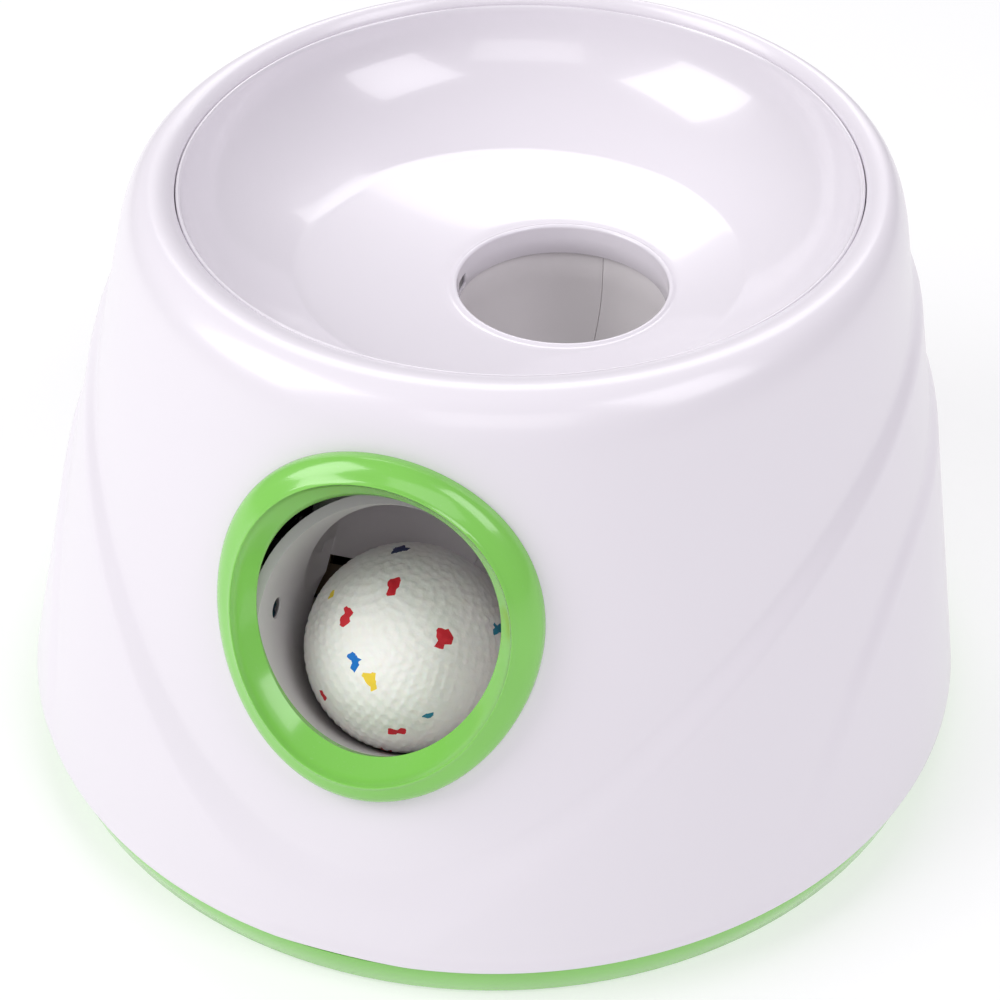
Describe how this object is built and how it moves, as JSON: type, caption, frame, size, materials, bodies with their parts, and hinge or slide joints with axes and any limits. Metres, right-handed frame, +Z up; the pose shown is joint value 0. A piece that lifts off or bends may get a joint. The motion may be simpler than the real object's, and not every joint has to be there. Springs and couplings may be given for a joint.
{
  "type": "automatic dog ball launcher",
  "caption": "Round floor-standing launcher that takes a small ball from a top bowl and fires it from an angled front port with a sprung striker.",
  "frame": {"origin": "centre of the round base, on the floor under the feet", "axes": "+Z up, launch port towards -Y, rear controls towards +Y"},
  "size_m": [0.25, 0.25, 0.145],
  "materials": {
    "shell_white": "glossy moulded",
    "green": "glossy moulded",
    "barrel_grey": "fine satin",
    "bowl_white": "glossy moulded",
    "foam": "foamed bead with coloured flecks",
    "cradle_tan": "natural moulded",
    "gear_nylon": "natural nylon",
    "gear_dark": "acetal",
    "steel": "drawn",
    "brass": "turned",
    "rubber_dark": "matt",
    "board_green": "solder mask",
    "parts_black": "moulded",
    "cell_jacket": "printed film without print",
    "panel_grey": "fine spark texture",
    "lens_dark": "infrared window",
    "lens_clear": "diffused"
  },
  "bodies": {
    "housing": {"base_tray": "green", "battery_door": "green", "outer_shell": "shell_white", "launch_bezel": "green", "launch_barrel": "barrel_grey", "chute_left": "barrel_grey", "chute_right": "barrel_grey", "drop_bowl": "bowl_white", "drop_sensor_lens": "lens_dark", "striker_cradle": "cradle_tan", "main_spring": "steel", "second_axle": "steel", "first_axle": "steel", "motor_can": "steel", "motor_end_cap": "parts_black", "inner_gear_plate": "gear_dark", "outer_gear_plate": "gear_dark", "plate_spacers": "brass", "plate_screws": "steel", "battery_box": "gear_dark", "battery_cells": "cell_jacket", "battery_contacts": "steel", "main_board": "board_green", "board_parts": "parts_black", "beeper": "parts_black", "muzzle_emitter": "lens_dark", "muzzle_receiver": "lens_dark", "rear_panel": "panel_grey", "rocker_case": "parts_black", "range_switch": "parts_black", "range_lights": "lens_clear", "control_board": "board_green", "power_inlet": "parts_black", "shell_screws": "steel", "mechanism_screws": "steel", "door_screws": "steel", "rubber_feet": "rubber_dark"},
    "striker": {"striker": "gear_nylon", "striker_pad": "rubber_dark"},
    "sector_shaft": {"sector_gear": "gear_nylon", "output_gear": "gear_nylon", "output_axle": "steel"},
    "second_gear": {"second_gear": "gear_nylon"},
    "first_gear": {"first_gear": "gear_nylon"},
    "motor_rotor": {"motor_pinion": "brass", "motor_shaft": "steel"},
    "ball": {"ball": "foam"},
    "power_rocker": {"power_rocker": "parts_black"},
    "range_button": {"range_button": "green"}
  },
  "joints": [
    {"name": "striker_slide", "type": "slide", "parent": "housing", "child": "striker", "axis": [0, 0.7314, -0.682], "range_m": [0, 0.024], "deforming": ["main_spring"]},
    {"name": "sector_turn", "type": "hinge", "parent": "housing", "child": "sector_shaft", "pos_m": [0, -0.06697, 0.0376], "axis": [-1, 0, 0], "range_deg": [0, 110.51]},
    {"name": "second_gear_turn", "type": "hinge", "parent": "housing", "child": "second_gear", "pos_m": [0, -0.04322, 0.04179], "axis": [-1, 0, 0], "range_deg": [-331.02, 0]},
    {"name": "first_gear_turn", "type": "hinge", "parent": "housing", "child": "first_gear", "pos_m": [0, -0.02238, 0.03997], "axis": [-1, 0, 0], "range_deg": [0, 1103.08]},
    {"name": "rotor_turn", "type": "hinge", "parent": "housing", "child": "motor_rotor", "pos_m": [0, -0.00153, 0.03814], "axis": [-1, 0, 0], "range_deg": [-3676.93, 0]},
    {"name": "ball_run", "type": "slide", "parent": "housing", "child": "ball", "axis": [0, -0.7314, 0.682], "range_m": [0, 0.06]},
    {"name": "rocker_turn", "type": "hinge", "parent": "housing", "child": "power_rocker", "pos_m": [-0.0132, 0.11793, 0.05791], "axis": [1, 0, 0], "range_deg": [-7, 7]},
    {"name": "button_press", "type": "slide", "parent": "housing", "child": "range_button", "axis": [0, -0.9982, -0.0605], "range_m": [0, 0.0012], "stiffness_N_per_m": 600, "springref_m": -0.0005}
  ],
  "couplings": [
    {"joint": "sector_turn", "follows": "striker_slide", "rad_per_m": 80},
    {"joint": "second_gear_turn", "follows": "striker_slide", "rad_per_m": -240},
    {"joint": "first_gear_turn", "follows": "striker_slide", "rad_per_m": 800},
    {"joint": "rotor_turn", "follows": "striker_slide", "rad_per_m": -2666.7}
  ]
}
